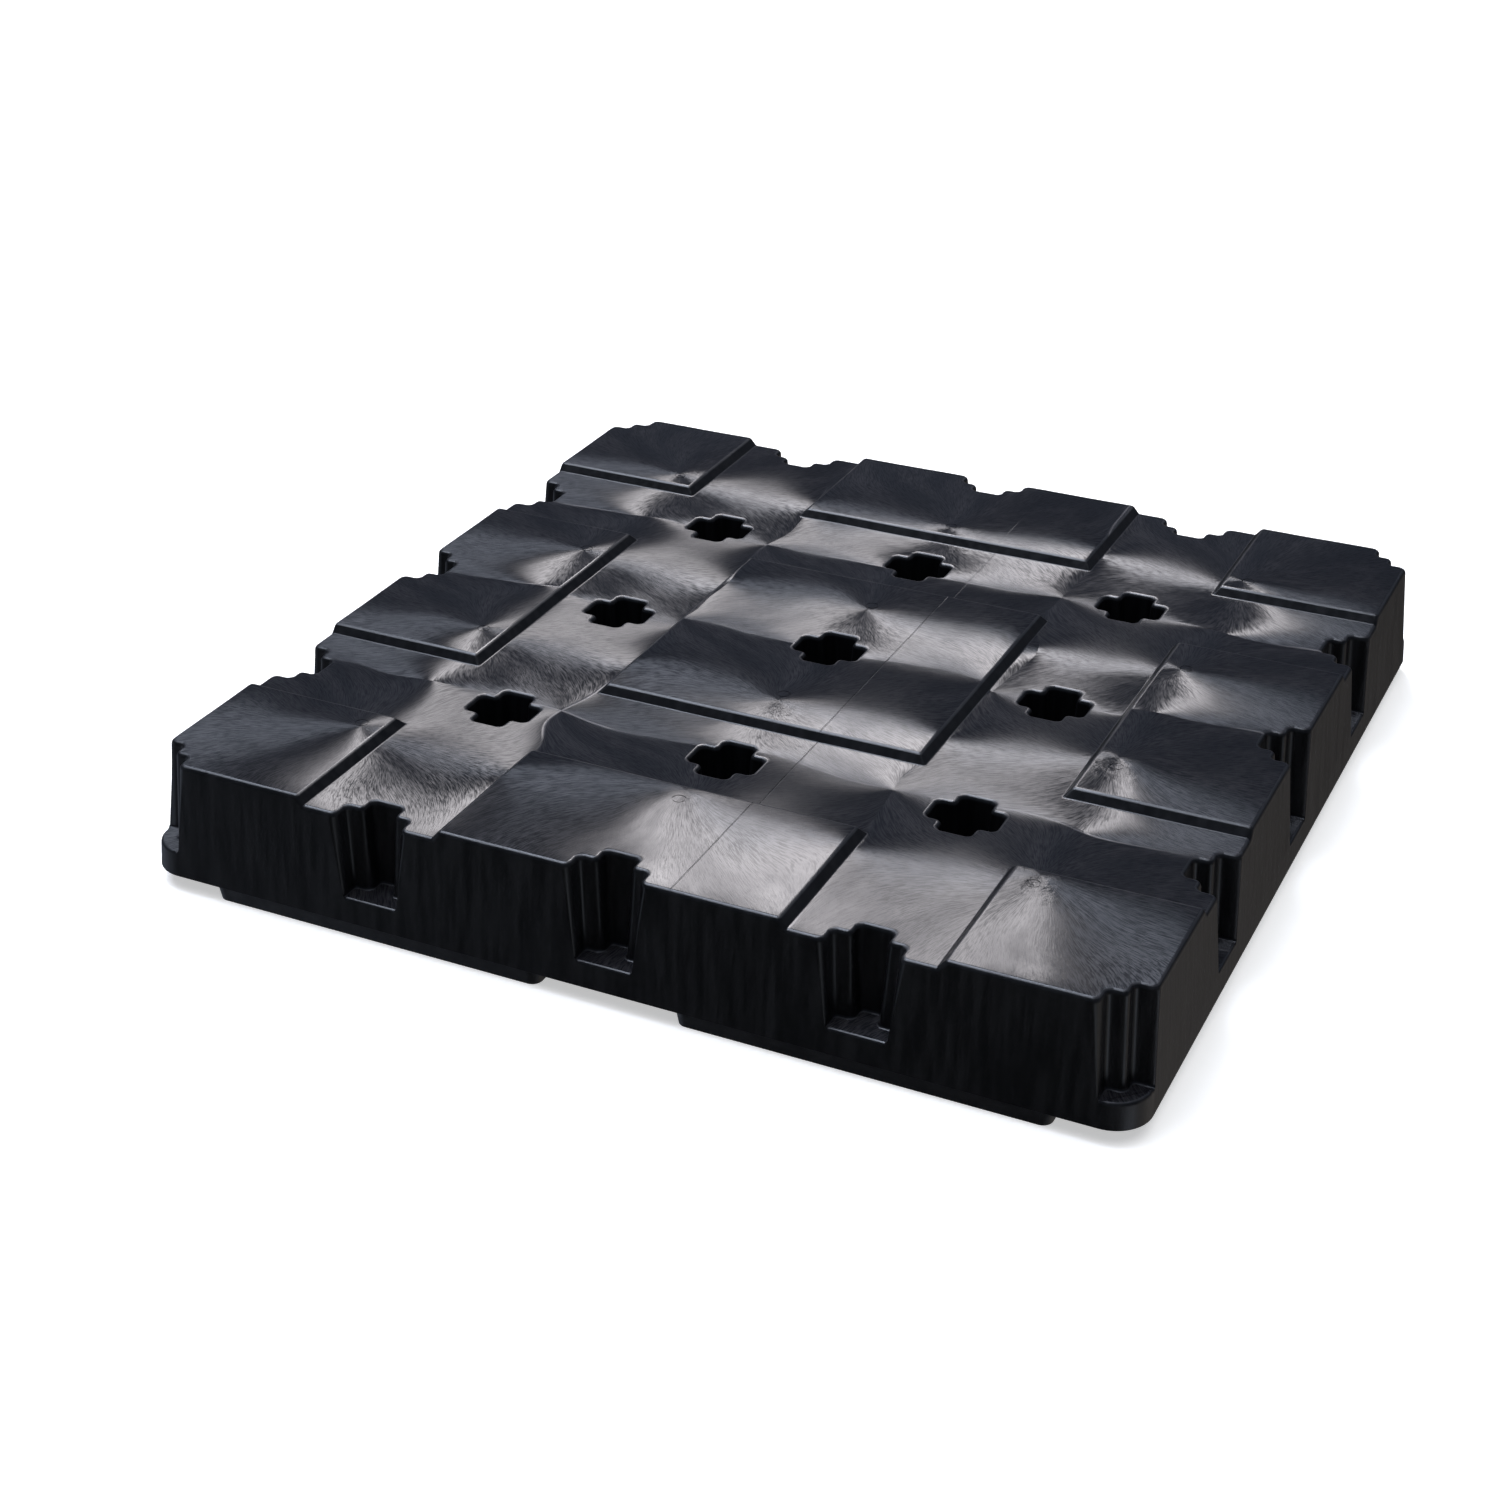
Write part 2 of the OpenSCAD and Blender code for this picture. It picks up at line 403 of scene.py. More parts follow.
# bosses for the screws, on the crossings of these ribs counted from the middle
screw_columns = (2, 4)
screw_rows = (-5, -2, 2, 5)
screw_places = [(side * column * rib_pitch, row * rib_pitch)
                for side in (-1, 1) for column in screw_columns for row in screw_rows]
boss_radius = 9 * MM
boss_height = 48 * MM
bore_radius = 3.6 * MM
bore_depth = 44 * MM

# drains in the nine inner pockets, and a ring pressed into the skin round each gate
drain_radius = 6 * MM
drain_places = [(x, y) for x in pocket_centres[1:4] for y in pocket_centres[1:4]]
gate_places = [(x, y) for x in gate_x for y in gate_y]
gate_ring_inner = 6.4 * MM
gate_ring_outer = 7.4 * MM
gate_ring_depth = 0.5 * MM
round_sides = 32
ring_sides = 40
overrun = 1 * MM


def under_lines():
    lines = [r + s * rib_half for r in rib_places for s in (-1, 1)]
    for half in (pocket_half, arm_half):
        lines += [c + s * (half + pocket_wall) for c in pocket_centres for s in (-1, 1)]
    lines = [v for v in lines if abs(v) < top_half - wall]
    return sorted(lines + both_signs(slot_edges + [skirt_half]))


def on_rib(v):
    return abs(v - nearest(v, rib_places)) < rib_half


def in_slot(x):
    return slot_edges[0] < abs(x) < slot_edges[1] or slot_edges[2] < abs(x) < slot_edges[3]


def under_level(x, y):
    if on_rib(x) or on_rib(y):
        return 1 if in_slot(x) else 0
    if in_plus(x, y, pocket_wall):
        return 2
    under_channel = any(2 * rib_pitch < abs(v) < 4 * rib_pitch for v in (x, y))
    return 3 if under_channel else 4


def under_shift(v, z):
    if same(abs(v), skirt_half):
        lean = (rim_half - top_half) * (z - rim_z) / (pad_z - rim_z)
        return math.copysign(skirt_half - lean, v)
    centre = nearest(v, pocket_centres)
    for half in (pocket_half, arm_half):
        if same(abs(v - centre), half + pocket_wall):
            return centre + math.copysign(pocket_offset(half, z) + pocket_wall, v - centre)
    return v


def under_place(a, b, k):
    z = under_levels[k]
    return under_shift(a, z), under_shift(b, z), z


def fill_ring(mesh, outer, inner):
    """Triangles between two level loops that go round the same middle."""
    def bearing(v):
        return math.atan2(v.co.y, v.co.x)

    def next_bearing(loop, place):
        """Where the loop's next corner is; its last one, the first again, is a whole turn on."""
        if place + 1 == len(loop):
            return math.inf
        turn = 2 * math.pi if place + 2 == len(loop) else 0
        return bearing(loop[place + 1]) + turn

    outer, inner = sorted(outer, key=bearing), sorted(inner, key=bearing)
    outer.append(outer[0])
    inner.append(inner[0])
    i = j = 0
    while i < len(outer) - 1 or j < len(inner) - 1:
        if next_bearing(outer, i) < next_bearing(inner, j):
            mesh.faces.new([outer[i], outer[i + 1], inner[j]])
            i += 1
        else:
            mesh.faces.new([outer[i], inner[j + 1], inner[j]])
            j += 1


def is_rib_edge(e, f, g):
    return sharp(e, 50) and at_height(e, rim_z - margin, rim_z + margin) and e.is_convex


outer_foot = [v for v in shell.verts if v.is_boundary]
inner_foot = stepped(shell, under_lines(), under_level, under_place,
                     pocket_centres[4] - pocket_half - pocket_wall, band_corner - wall, 2)
fill_ring(shell, outer_foot, inner_foot)
face_out(shell)
round_edges(shell, is_rib_edge, rib_edge, 2)


def standing_rounds(mesh, places, radius, low, high):
    """Closed cylinders, to be joined to the deck or cut from it."""
    for x, y in places:
        bmesh.ops.create_cone(mesh, cap_ends=True, segments=round_sides, radius1=radius, radius2=radius,
                              depth=high - low, matrix=Matrix.Translation((x, y, (low + high) / 2)))


def standing_rings(mesh, places, inner, outer, depth):
    """Closed rings that reach from above a pad to so far below its sunken skin."""
    for x, y in places:
        low, high = pad_z + swell(x, y) - depth, pad_z + overrun
        corners = []
        for s in range(ring_sides):
            t = 2 * math.pi * s / ring_sides
            corners.append([mesh.verts.new((x + r * math.cos(t), y + r * math.sin(t), z))
                            for r, z in ((inner, low), (outer, low), (outer, high), (inner, high))])
        for a, b in zip(corners, corners[1:] + corners[:1]):
            for q in range(4):
                mesh.faces.new([a[q], b[q], b[(q + 1) % 4], a[(q + 1) % 4]])


def combine(target, tool_mesh, operation):
    """Joins the tool's closed solids to the target, or cuts them from it."""
    face_out(tool_mesh)
    tool_data = bpy.data.meshes.new("tool")
    tool_mesh.to_mesh(tool_data)
    tool_mesh.free()
    tool = bpy.data.objects.new("tool", tool_data)
    bpy.context.scene.collection.objects.link(tool)
    joining = target.modifiers.new(operation, "BOOLEAN")
    joining.operation = operation
    joining.solver = "MANIFOLD"
    joining.object = tool
    result = target.evaluated_get(bpy.context.evaluated_depsgraph_get())
    new_data = bpy.data.meshes.new_from_object(result)
    target.modifiers.clear()
    target.data = new_data
    bpy.data.objects.remove(tool)


deck_data = bpy.data.meshes.new("deck_moulding")
shell.to_mesh(deck_data)
shell.free()
deck = bpy.data.objects.new("deck_moulding", deck_data)
bpy.context.scene.collection.objects.link(deck)

bosses = bmesh.new()
standing_rounds(bosses, screw_places, boss_radius, rim_z, rim_z + boss_height)
combine(deck, bosses, "UNION")
holes = bmesh.new()
standing_rounds(holes, screw_places, bore_radius, rim_z - overrun, rim_z + bore_depth)
standing_rounds(holes, drain_places, drain_radius, ledge_z - pocket_wall - overrun, ledge_z + overrun)
standing_rings(holes, gate_places, gate_ring_inner, gate_ring_outer, gate_ring_depth)
combine(deck, holes, "DIFFERENCE")

deck.data.name = "deck_moulding"
for polygon in deck.data.polygons:
    polygon.use_smooth = True
deck.data.set_sharp_from_angle(angle=math.radians(50))
even = deck.modifiers.new("even_shading", "WEIGHTED_NORMAL")
even.weight = 80
even.keep_sharp = True
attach(deck, "root")
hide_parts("deck")


# ---------------------------------------------------------------------------
# Plastic of the deck: black recycled polyolefin, foamed a little inside. Its
# skin froze while it still ran, so that its shine follows the way it ran.
# ---------------------------------------------------------------------------
wall_dark = (0.0026, 0.0027, 0.0033, 1.0)
wall_pale = (0.0058, 0.0060, 0.0072, 1.0)
dull_skin = (0.0072, 0.0077, 0.0100, 1.0)
# painted sheen: a paler skin colour that stands in for the shine the drag lines catch
sheen_painted_skin = (0.0260, 0.0255, 0.0290, 1.0)
# painted highlight: a pale grey laid along the real raised weld lines, in place of the shine they catch
weld_highlight_grey = (0.085, 0.083, 0.088, 1.0)
insert_black = (0.002, 0.002, 0.002, 1.0)
weld_width = 2.2 * MM

# how far the front wanders, how much of its freedom it loses at a weld, and how much a steep side
# tips the skin at a gate and away from it
front_wander = 0.07
weld_hold = 0.92
gate_tip, full_tip = 0.07, 0.10

line_height = 0.14 * MM
weld_height = 0.25 * MM
curl_height = 0.9 * MM
drawn_height = 0.22 * MM
fine_height = 0.02 * MM
insert_line_depth = 0.3 * MM

# the seam of a mould insert, one fine line from front to back that fades behind the middle
insert_line_x = 71 * MM
insert_line_edge = (0.3 * MM, 0.8 * MM)
insert_line_fade = (150 * MM, 190 * MM)


def add(tree, kind, inputs, **settings):
    """Adds a node; each input, by name or number, takes a value or another node's output."""
    made = tree.nodes.new(kind)
    for key, value in settings.items():
        setattr(made, key, value)
    for key, value in inputs.items():
        if isinstance(value, bpy.types.NodeSocket):
            tree.links.new(value, made.inputs[key])
        else:
            made.inputs[key].default_value = value
    return made


def calc(tree, operation, *values):
    return add(tree, "ShaderNodeMath", dict(enumerate(values)), operation=operation).outputs[0]


def times(tree, first, second):
    return calc(tree, "MULTIPLY", first, second)


def plus(tree, first, second):
    return calc(tree, "ADD", first, second)


def minus(tree, first, second):
    return calc(tree, "SUBTRACT", first, second)


def size_of(tree, value):
    return calc(tree, "ABSOLUTE", value)


def vector(tree, x, y, z):
    return add(tree, "ShaderNodeCombineXYZ", {"X": x, "Y": y, "Z": z}).outputs[0]


def blur_step(tree, value, low, high, to_low=0.0, to_high=1.0):
    """A soft step from to_low, where the value is at most low, to to_high, where it is at least high."""
    inputs = {"Value": value, "From Min": low, "From Max": high, "To Min": to_low, "To Max": to_high}
    return add(tree, "ShaderNodeMapRange", inputs, interpolation_type="SMOOTHSTEP").outputs["Result"]


def grain(tree, at, scale, detail=2.0, roughness=0.5):
    inputs = {"Vector": at, "Scale": scale, "Detail": detail, "Roughness": roughness}
    return add(tree, "ShaderNodeTexNoise", inputs).outputs["Fac"]


def blend_colours(tree, amount, first, second):
    mix = add(tree, "ShaderNodeMix", {0: amount, 6: first, 7: second}, data_type="RGBA")
    return mix.outputs[2]


def blend_numbers(tree, amount, first, second):
    return add(tree, "ShaderNodeMix", {0: amount, 2: first, 3: second}).outputs[0]


def vectors(tree, operation, *values):
    return add(tree, "ShaderNodeVectorMath", dict(enumerate(values)), operation=operation).outputs[0]


def measure(tree, operation, *values):
    return add(tree, "ShaderNodeVectorMath", dict(enumerate(values)), operation=operation).outputs["Value"]


def unit(tree, value):
    return vectors(tree, "NORMALIZE", value)


def scaled(tree, value, factor):
    return add(tree, "ShaderNodeVectorMath", {0: value, 3: factor}, operation="SCALE").outputs[0]


def stretched(tree, at, by):
    """Draws a grain out along the axes for which by is small."""
    return vectors(tree, "MULTIPLY", at, by)


def flowed_plastic():
    """Black plastic whose skin froze while it ran outwards from the gates: fine drag lines along the
    flow, each with a steep side downstream, raised weld lines, and faint upright marks on the walls.
    Its colour carries painted light: the drag lines and broad fans are painted paler as sheen, and
    the weld lines are painted pale grey as a highlight."""
    material = bpy.data.materials.new("flowed_black_plastic")
    material.use_nodes = True
    tree = material.node_tree
    shader = tree.nodes["Principled BSDF"]
    at = add(tree, "ShaderNodeTexCoord", {}).outputs["Object"]
    facing = add(tree, "ShaderNodeNewGeometry", {}).outputs["Normal"]
    split = add(tree, "ShaderNodeSeparateXYZ", {0: facing})
    flat = blur_step(tree, size_of(tree, split.outputs["Z"]), 0.75, 0.95)

    # the melt front wanders a little on its way out
    wander = add(tree, "ShaderNodeTexNoise", {"Vector": at, "Scale": 6.0, "Detail": 1.0})
    centred = vectors(tree, "SUBTRACT", wander.outputs["Color"], (0.5, 0.5, 0.5))
    drift = vectors(tree, "MULTIPLY", centred, (front_wander, front_wander, 0.0))
    level_at = vectors(tree, "MULTIPLY", vectors(tree, "ADD", at, drift), (1.0, 1.0, 0.0))

    # offset from the nearest gate, and how far off the nearest weld lines are each way
    half_step = gate_x[2] / 2
    row_weld = (gate_y[2] + gate_y[3]) / 2
    ran = add(tree, "ShaderNodeSeparateXYZ", {0: level_at})
    dx = calc(tree, "WRAP", ran.outputs["X"], half_step, -half_step)
    away = size_of(tree, ran.outputs["Y"])
    outer_row = calc(tree, "GREATER_THAN", away, row_weld)
    row = calc(tree, "MULTIPLY_ADD", outer_row, gate_y[3] - gate_y[2], gate_y[2])
    dy = times(tree, minus(tree, away, row), calc(tree, "SIGN", ran.outputs["Y"]))
    reach = measure(tree, "LENGTH", vector(tree, dx, dy, 0.0))
    to_column = size_of(tree, minus(tree, size_of(tree, ran.outputs["X"]), half_step))
    to_row = calc(tree, "MINIMUM", size_of(tree, minus(tree, away, row_weld)), away)

    def freedom(offset, left):
        """How freely the melt runs this way: 1 at the gate, next to nothing at the weld line."""
        size = size_of(tree, offset)
        share = calc(tree, "DIVIDE", size, plus(tree, size, left))
        return minus(tree, 1.0, times(tree, times(tree, share, share), weld_hold))

    free_x, free_y = freedom(dx, to_column), freedom(dy, to_row)
    ray = unit(tree, vector(tree, times(tree, dx, free_x), times(tree, dy, free_y), 0.0))
    ray_parts = add(tree, "ShaderNodeSeparateXYZ", {0: ray})
    stream = unit(tree, vector(tree, calc(tree, "DIVIDE", dx, calc(tree, "SQRT", free_x)),
                               calc(tree, "DIVIDE", dy, calc(tree, "SQRT", free_y)), 0.0))

    def drag(count, along):
        """Marks that run with the stream, count of them for each unit of bearing."""
        turned = scaled(tree, stream, count)
        u = vectors(tree, "ADD", turned, vector(tree, 0.0, 0.0, times(tree, reach, along)))
        return grain(tree, u, 1.0, 3.0, 0.62)

    # they are finer further out, where one count would spread them too wide
    far_out = blur_step(tree, reach, 0.05, 0.12)
    lines = blend_numbers(tree, far_out, drag(50.0, 80.0), drag(120.0, 80.0))
    # broad fans round each gate: they vary roughness and tilt, and the colour below paints them paler as
    # sheen
    fans = drag(2.4, 9.0)

    # weld lines, where two fronts met
    patchy = blur_step(tree, grain(tree, at, 7.0), 0.45, 0.62)
    to_weld = calc(tree, "MINIMUM", to_column, to_row)
    weld = times(tree, blur_step(tree, to_weld, 0.0, weld_width, 1.0, 0.0), patchy)

    # ripples where the first cold melt curled round the gates
    stirred = vectors(tree, "ADD", at, vectors(tree, "MULTIPLY", centred, (0.1, 0.1, 0.1)))
    curl = grain(tree, stirred, 75.0, 3.0, 0.6)
    near_gate = times(tree, blur_step(tree, reach, 0.012, 0.065, 1.0, 0.0),
                     blur_step(tree, grain(tree, at, 3.1), 0.45, 0.6))

    # upright drag marks on the walls, and a fine grain all over
    drawn = grain(tree, stretched(tree, at, (110.0, 110.0, 9.0)), 1.0, 4.0, 0.6)
    fine = grain(tree, at, 1100.0, 2.0)

    # the seam of the insert
    placed = add(tree, "ShaderNodeSeparateXYZ", {0: at})
    off_line = size_of(tree, minus(tree, placed.outputs["X"], insert_line_x))
    on_line = blur_step(tree, off_line, *insert_line_edge, 1.0, 0.0)
    fading = blur_step(tree, placed.outputs["Y"], *insert_line_fade, 1.0, 0.25)
    insert_line = times(tree, on_line, fading)

    wall_tone = blend_colours(tree, blur_step(tree, drawn, 0.35, 0.7), wall_dark, wall_pale)
    # painted sheen: the drag lines and the broad fans are painted paler over the dull skin, in place of the
    # shine they catch
    line_sheen_tone = blend_colours(tree, blur_step(tree, lines, 0.38, 0.70), dull_skin, sheen_painted_skin)
    fan_sheen_tone = blend_colours(tree, blur_step(tree, fans, 0.35, 0.62), dull_skin, line_sheen_tone)
    # painted highlight: the weld lines are painted pale grey over the skin
    weld_highlight_tone = blend_colours(tree, weld, fan_sheen_tone, weld_highlight_grey)
    top_tone = blend_colours(tree, insert_line, weld_highlight_tone, insert_black)
    tree.links.new(blend_colours(tree, flat, wall_tone, top_tone), shader.inputs["Base Color"])

    top_rough = plus(tree, blur_step(tree, fans, 0.3, 0.7, 0.36, 0.41),
                     blur_step(tree, lines, 0.3, 0.7, -0.05, 0.05))
    wall_rough = blur_step(tree, drawn, 0.3, 0.7, 0.30, 0.44)
    tree.links.new(blend_numbers(tree, flat, wall_rough, top_rough), shader.inputs["Roughness"])

    # drag lines only on level skin; the roundings between level and wall are the shiniest of all
    tilt = size_of(tree, split.outputs["Z"])
    level_skin = blur_step(tree, tilt, 0.97, 0.995)
    tree.links.new(blend_numbers(tree, level_skin, 0.2, 1.0), shader.inputs["Anisotropic"])
    top_shine = blur_step(tree, lines, 0.36, 0.64, 0.26, 0.90)
    edge_shine = blur_step(tree, tilt, 0.70, 0.85, 0.4, 1.0)
    shine = blend_numbers(tree, level_skin, edge_shine, top_shine)
    tree.links.new(shine, shader.inputs["Specular IOR Level"])
    across = vector(tree, times(tree, ray_parts.outputs["Y"], -1.0), ray_parts.outputs["X"], 0.0)
    level_across = vectors(tree, "CROSS_PRODUCT", facing, (0.0, 0.0, 1.0))
    grooves = add(tree, "ShaderNodeMix", {0: flat, 4: level_across, 5: across}, data_type="VECTOR")
    tree.links.new(grooves.outputs[1], shader.inputs["Tangent"])

    # the steep sides tip the skin a little downstream, less round the gates themselves
    uneven = plus(tree, blur_step(tree, lines, 0.30, 0.70, -0.020, 0.020),
                  blur_step(tree, fans, 0.30, 0.70, -0.012, 0.012))
    tip = plus(tree, blur_step(tree, reach, 0.0, 0.03, gate_tip, full_tip), uneven)
    tipped = scaled(tree, ray, times(tree, tip, flat))
    leaned = unit(tree, vectors(tree, "ADD", facing, tipped))

    top_height = plus(tree, times(tree, lines, line_height), times(tree, weld, weld_height))
    top_height = minus(tree, top_height, times(tree, insert_line, insert_line_depth))
    curls = times(tree, times(tree, curl, near_gate), curl_height)
    top_height = plus(tree, top_height, curls)
    wall_height = times(tree, drawn, drawn_height)
    coarse_height = blend_numbers(tree, flat, wall_height, top_height)
    height = plus(tree, coarse_height, times(tree, fine, fine_height))
    relief = {"Strength": 1.0, "Distance": 1.0, "Height": height, "Normal": leaned}
    bump = add(tree, "ShaderNodeBump", relief)
    tree.links.new(bump.outputs["Normal"], shader.inputs["Normal"])
    return material


deck.data.materials.clear()
deck.data.materials.append(flowed_plastic())


# ---------------------------------------------------------------------------
# Skids: two long shallow trays in the same black plastic, screwed up under
# the deck. Floors and rollers have scuffed their soles along their length.
# ---------------------------------------------------------------------------
skid_edge = 0.7 * MM
sole_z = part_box("skid_left")[0].z
scuff_height = 3 * MM
skid_dark = (0.0042, 0.0044, 0.0054, 1.0)
skid_pale = (0.0068, 0.0070, 0.0082, 1.0)
scuffed_grey = (0.075, 0.073, 0.070, 1.0)


def painted_over(name, colour, rough, height, metallic):
    """A material from its colour, roughness and height, each worked out from where the skin is."""
    material = bpy.data.materials.new(name)
    material.use_nodes = True
    tree = material.node_tree
    shader = tree.nodes["Principled BSDF"]
    at = add(tree, "ShaderNodeTexCoord", {}).outputs["Object"]
    tree.links.new(colour(tree, at), shader.inputs["Base Color"])
    tree.links.new(rough(tree, at), shader.inputs["Roughness"])
    bump = add(tree, "ShaderNodeBump", {"Strength": 1.0, "Distance": 1.0, "Height": height(tree, at)})
    tree.links.new(bump.outputs["Normal"], shader.inputs["Normal"])
    shader.inputs["Metallic"].default_value = metallic
    return material


def dress(names, material, edge):
    """Gives drawn pieces their material and takes the sharpness off their edges."""
    for name in names:
        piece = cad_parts[name]
        for place in piece.material_slots:
            place.material = material
        rounded = piece.modifiers.new("soft_edges", "BEVEL")
        rounded.width = edge
        rounded.segments = 2
        rounded.limit_method = "ANGLE"
        rounded.angle_limit = math.radians(40)


def mottled(tree, at, scale, first, second):
    """Two colours in soft blotches, so many of them to a metre."""
    return blend_colours(tree, blur_step(tree, grain(tree, at, scale, 4.0, 0.6), 0.35, 0.65), first, second)


def scuffs(tree, at):
    """Pale scratches along the skid, on the sole and just above it."""
    height = add(tree, "ShaderNodeSeparateXYZ", {0: at}).outputs["Z"]
    low = blur_step(tree, height, sole_z, sole_z + scuff_height, 1.0, 0.0)
    scratches = grain(tree, stretched(tree, at, (420.0, 7.0, 60.0)), 1.0, 4.0, 0.7)
    patches = grain(tree, at, 9.0, 3.0, 0.6)
    scratched = times(tree, blur_step(tree, scratches, 0.5, 0.68), low)
    return times(tree, scratched, blur_step(tree, patches, 0.35, 0.6))


def skid_colour(tree, at):
    clean = mottled(tree, at, 40.0, skid_dark, skid_pale)
    return blend_colours(tree, scuffs(tree, at), clean, scuffed_grey)


def skid_rough(tree, at):
    moulded = blur_step(tree, grain(tree, at, 70.0, 3.0), 0.3, 0.7, 0.36, 0.48)
    return blend_numbers(tree, scuffs(tree, at), moulded, 0.72)


def skid_height(tree, at):
    marks = times(tree, scuffs(tree, at), -0.12 * MM)
    return plus(tree, marks, times(tree, grain(tree, at, 900.0, 2.0), 0.03 * MM))


dress(["skid_left", "skid_right"],
      painted_over("scuffed_black_plastic", skid_colour, skid_rough, skid_height, 0.0), skid_edge)


# ---------------------------------------------------------------------------
# Tubes: four lengths of galvanised steel tube that stiffen the deck front to
# back. Hot zinc froze on them in small crystals, since dulled by the weather.
# ---------------------------------------------------------------------------
tube_edge = 0.3 * MM
crystals_per_metre = 130.0
dark_zinc = (0.40, 0.41, 0.43, 1.0)
bright_zinc = (0.60, 0.61, 0.62, 1.0)
weathered_zinc = (0.33, 0.34, 0.34, 1.0)


def crystals(tree, at):
    """A number of its own for each crystal of the zinc."""
    shape = {"Vector": at, "Scale": crystals_per_metre, "Randomness": 1.0}
    cells = add(tree, "ShaderNodeTexVoronoi", shape)
    return add(tree, "ShaderNodeSeparateXYZ", {0: cells.outputs["Color"]}).outputs["X"]


def zinc_bloom(tree, at):
    """Dull patches where the weather has got at the zinc, longer along the tube."""
    patches = grain(tree, stretched(tree, at, (1.0, 0.35, 1.0)), 26.0, 5.0, 0.6)
    return blur_step(tree, patches, 0.48, 0.68)


def tube_colour(tree, at):
    clean = blend_colours(tree, crystals(tree, at), dark_zinc, bright_zinc)
    return blend_colours(tree, zinc_bloom(tree, at), clean, weathered_zinc)


def tube_rough(tree, at):
    frozen = blur_step(tree, crystals(tree, at), 0.0, 1.0, 0.30, 0.46)
    return blend_numbers(tree, zinc_bloom(tree, at), frozen, 0.66)


def tube_height(tree, at):
    rolled = grain(tree, stretched(tree, at, (500.0, 12.0, 500.0)), 1.0, 3.0)
    rolling_marks = times(tree, rolled, 0.02 * MM)
    return plus(tree, rolling_marks, times(tree, crystals(tree, at), 0.015 * MM))


dress(["tube_left_outer", "tube_left_inner", "tube_right_inner", "tube_right_outer"],
      painted_over("galvanised_steel", tube_colour, tube_rough, tube_height, 1.0), tube_edge)


# ---------------------------------------------------------------------------
# Plugs: moulded caps pushed into both ends of every tube, black like the rest
# but with the finer, drier surface of a small spark-eroded mould.
# ---------------------------------------------------------------------------
plug_edge = 0.5 * MM
plug_dark = (0.0090, 0.0092, 0.0100, 1.0)
plug_pale = (0.0150, 0.0150, 0.0158, 1.0)


def plug_colour(tree, at):
    return mottled(tree, at, 160.0, plug_dark, plug_pale)


def plug_rough(tree, at):
    return blur_step(tree, grain(tree, at, 210.0, 3.0), 0.3, 0.7, 0.50, 0.62)


def plug_height(tree, at):
    return times(tree, grain(tree, at, 1600.0, 2.0), 0.05 * MM)


dress(["tube_plugs_left", "tube_plugs_right"],
      painted_over("spark_eroded_black_plastic", plug_colour, plug_rough, plug_height, 0.0), plug_edge)


# ---------------------------------------------------------------------------
# Screws: hexagon-headed thread-forming screws that hold each skid up to the
# bosses. Cold-headed steel, zinc plated, with a faint yellow passivation.
# ---------------------------------------------------------------------------
screw_edge = 0.4 * MM
clear_zinc = (0.62, 0.60, 0.53, 1.0)
yellowed_zinc = (0.66, 0.57, 0.38, 1.0)
grime_brown = (0.16, 0.14, 0.11, 1.0)


def screw_colour(tree, at):
    plate = mottled(tree, at, 120.0, clear_zinc, yellowed_zinc)
    grime = blur_step(tree, grain(tree, at, 310.0, 4.0, 0.7), 0.56, 0.72)
    return blend_colours(tree, grime, plate, grime_brown)


def screw_rough(tree, at):
    return blur_step(tree, grain(tree, at, 260.0, 4.0, 0.6), 0.3, 0.7, 0.24, 0.48)


def screw_height(tree, at):
    struck = grain(tree, stretched(tree, at, (900.0, 300.0, 900.0)), 1.0, 3.0)
    return times(tree, struck, 0.03 * MM)


dress(["skid_screws_left", "skid_screws_right"],
      painted_over("zinc_plated_steel", screw_colour, screw_rough, screw_height, 1.0), screw_edge)


# ---------------------------------------------------------------------------
# Studio: a pale floor, a small softbox above and behind the deck for the shine
# of its top, pale cards round and over it for its edges, and a wide even lamp.
# ---------------------------------------------------------------------------
floor_data = bpy.data.meshes.new("studio_floor")
floor_half = 12.0
floor_data.from_pydata([(-floor_half, -floor_half, 0), (floor_half, -floor_half, 0),
                        (floor_half, floor_half, 0), (-floor_half, floor_half, 0)], [], [(0, 1, 2, 3)])
floor = bpy.data.objects.new("studio_floor", floor_data)
bpy.context.scene.collection.objects.link(floor)
floor.visible_glossy = False
floor.visible_shadow = False
floor_paint = bpy.data.materials.new("pale_floor_paint")
floor_paint.use_nodes = True
floor_shader = floor_paint.node_tree.nodes["Principled BSDF"]
floor_shader.inputs["Base Color"].default_value = (0.82, 0.82, 0.82, 1)
floor_shader.inputs["Roughness"].default_value = 0.9
floor_shader.inputs["Specular IOR Level"].default_value = 0.0
floor_shader.inputs["Emission Color"].default_value = (1.0, 1.0, 1.0, 1)
floor_shader.inputs["Emission Strength"].default_value = 0.5
floor_data.materials.append(floor_paint)

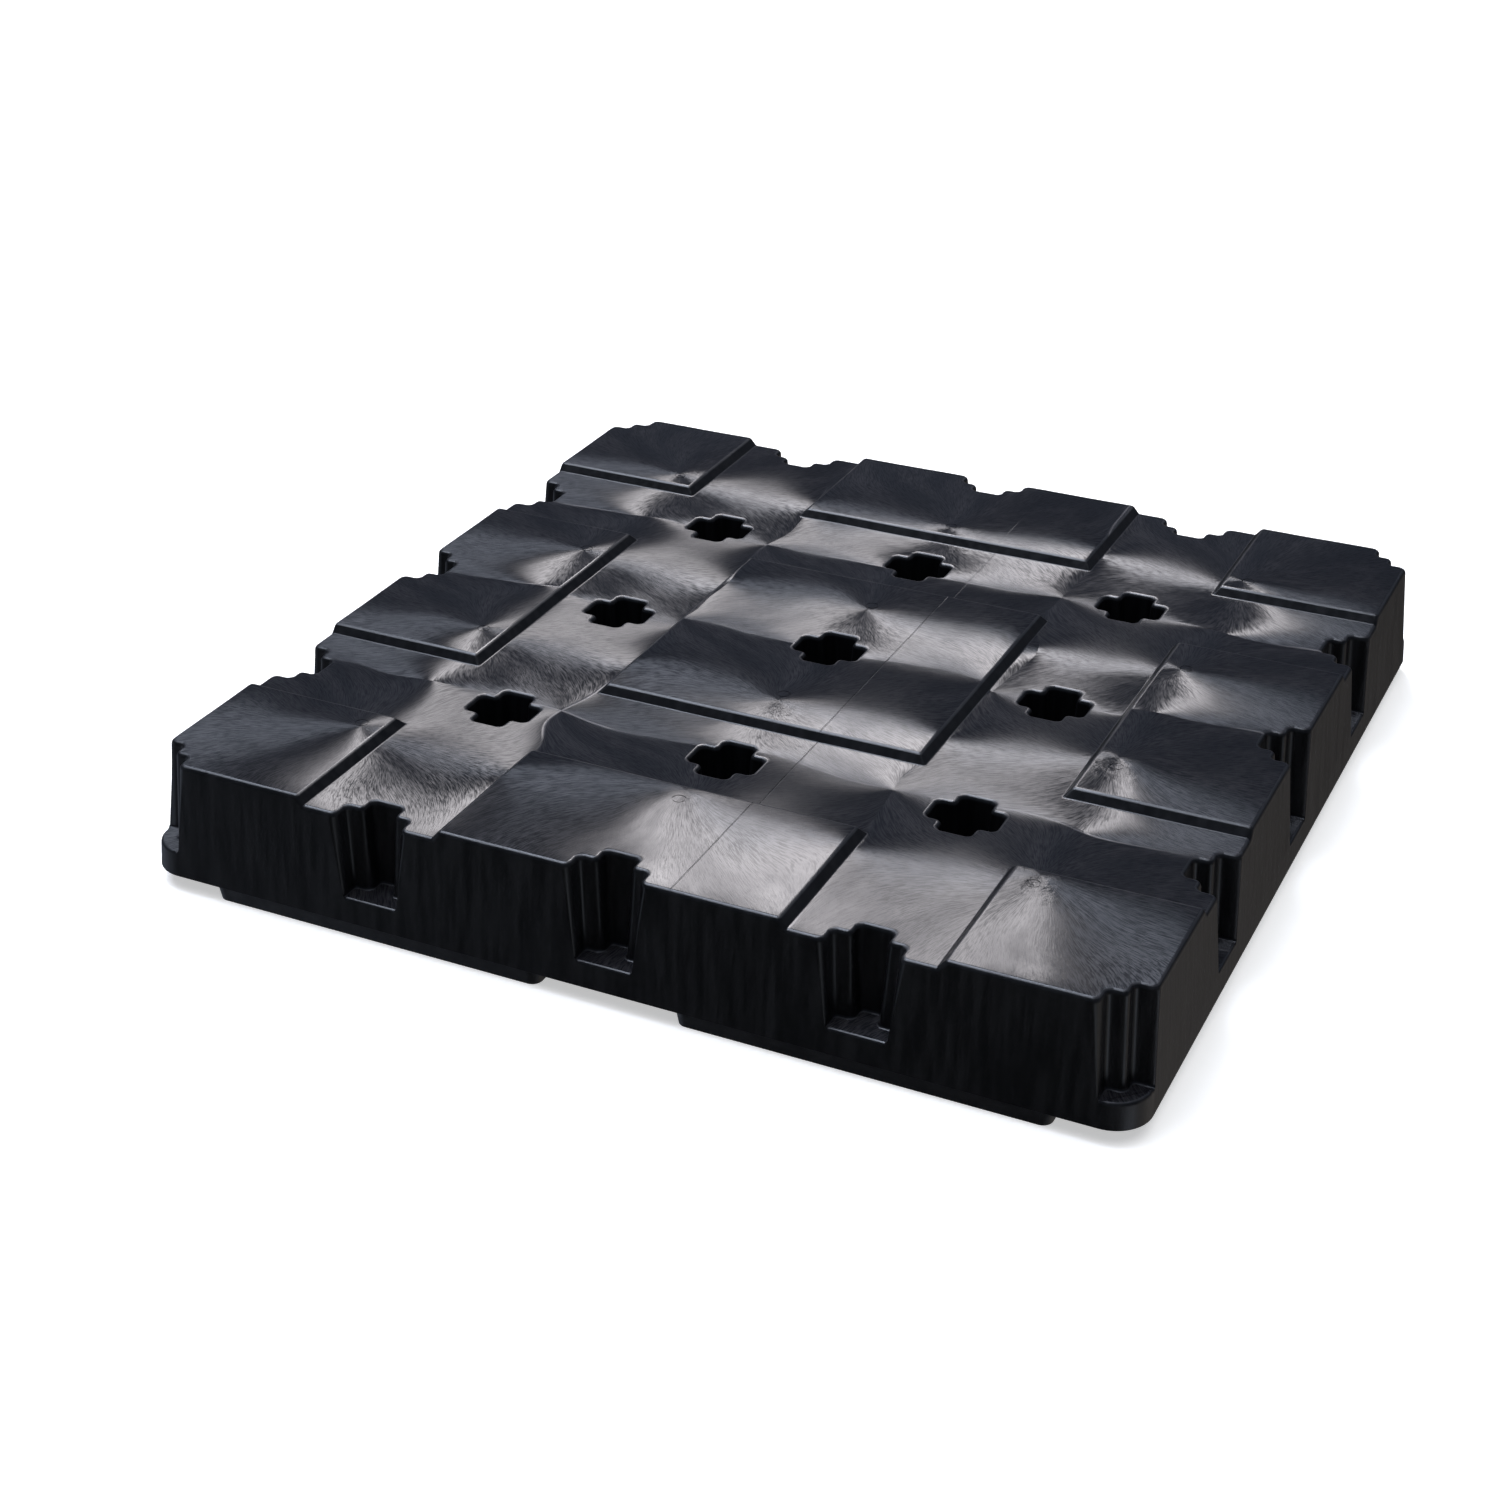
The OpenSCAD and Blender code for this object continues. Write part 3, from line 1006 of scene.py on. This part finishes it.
world = bpy.data.worlds.new("studio_air")
bpy.context.scene.world = world
world.use_nodes = True
air = world.node_tree
background = air.nodes["Background"]
seen = add(air, "ShaderNodeLightPath", {}).outputs["Is Camera Ray"]
look = add(air, "ShaderNodeTexCoord", {}).outputs["Generated"]
heading = add(air, "ShaderNodeSeparateXYZ", {0: look})
dark_below = (0.012, 0.013, 0.016, 1.0)
blue_above = (0.075, 0.09, 0.12, 1.0)
pure_white = (1.0, 1.0, 1.0, 1.0)
room = blend_colours(air, blur_step(air, heading.outputs["Z"], -0.05, 0.25), dark_below, blue_above)

# each card: where it hangs, how softly it ends, and its light
cards = [((0.80, 0.45, -0.40), (0.75, 0.93), (0.42, 0.39, 0.37, 1.0)),
         ((-0.90, -0.15, -0.40), (0.75, 0.93), (0.28, 0.32, 0.40, 1.0)),
         ((0.78, -0.35, -0.48), (0.93, 0.98), (1.2, 1.3, 1.5, 1.0)),
         ((-0.37, 0.08, 0.93), (0.94, 0.98), (5.2, 5.7, 6.8, 1.0))]
for towards, edge, shade in cards:
    facing_card = measure(air, "DOT_PRODUCT", look, towards)
    room = blend_colours(air, blur_step(air, facing_card, *edge), room, shade)
air.links.new(blend_colours(air, seen, room, pure_white), background.inputs["Color"])
background.inputs["Strength"].default_value = 1.0

softbox = bpy.data.lights.new("softbox_behind", "AREA")
softbox.shape = "RECTANGLE"
softbox.size = 0.8
softbox.size_y = 0.5
softbox.energy = 88.0
softbox.color = (1.0, 0.96, 0.99)
softbox_place = Vector((-1.15, 2.35, 3.0))
softbox_aim = Vector((0, 0, 0.1))
softbox_stand = bpy.data.objects.new("softbox_behind", softbox)
softbox_stand.location = softbox_place
softbox_stand.rotation_euler = (softbox_aim - softbox_place).to_track_quat("-Z", "Y").to_euler()
bpy.context.scene.collection.objects.link(softbox_stand)

even_lamp = bpy.data.lights.new("even_floor_lamp", "SUN")
even_lamp.energy = 1.8
even_lamp.angle = math.radians(70)
even_holder = bpy.data.objects.new("even_floor_lamp", even_lamp)
even_holder.visible_glossy = False
bpy.context.scene.collection.objects.link(even_holder)
bpy.context.scene.view_settings.view_transform = "Standard"
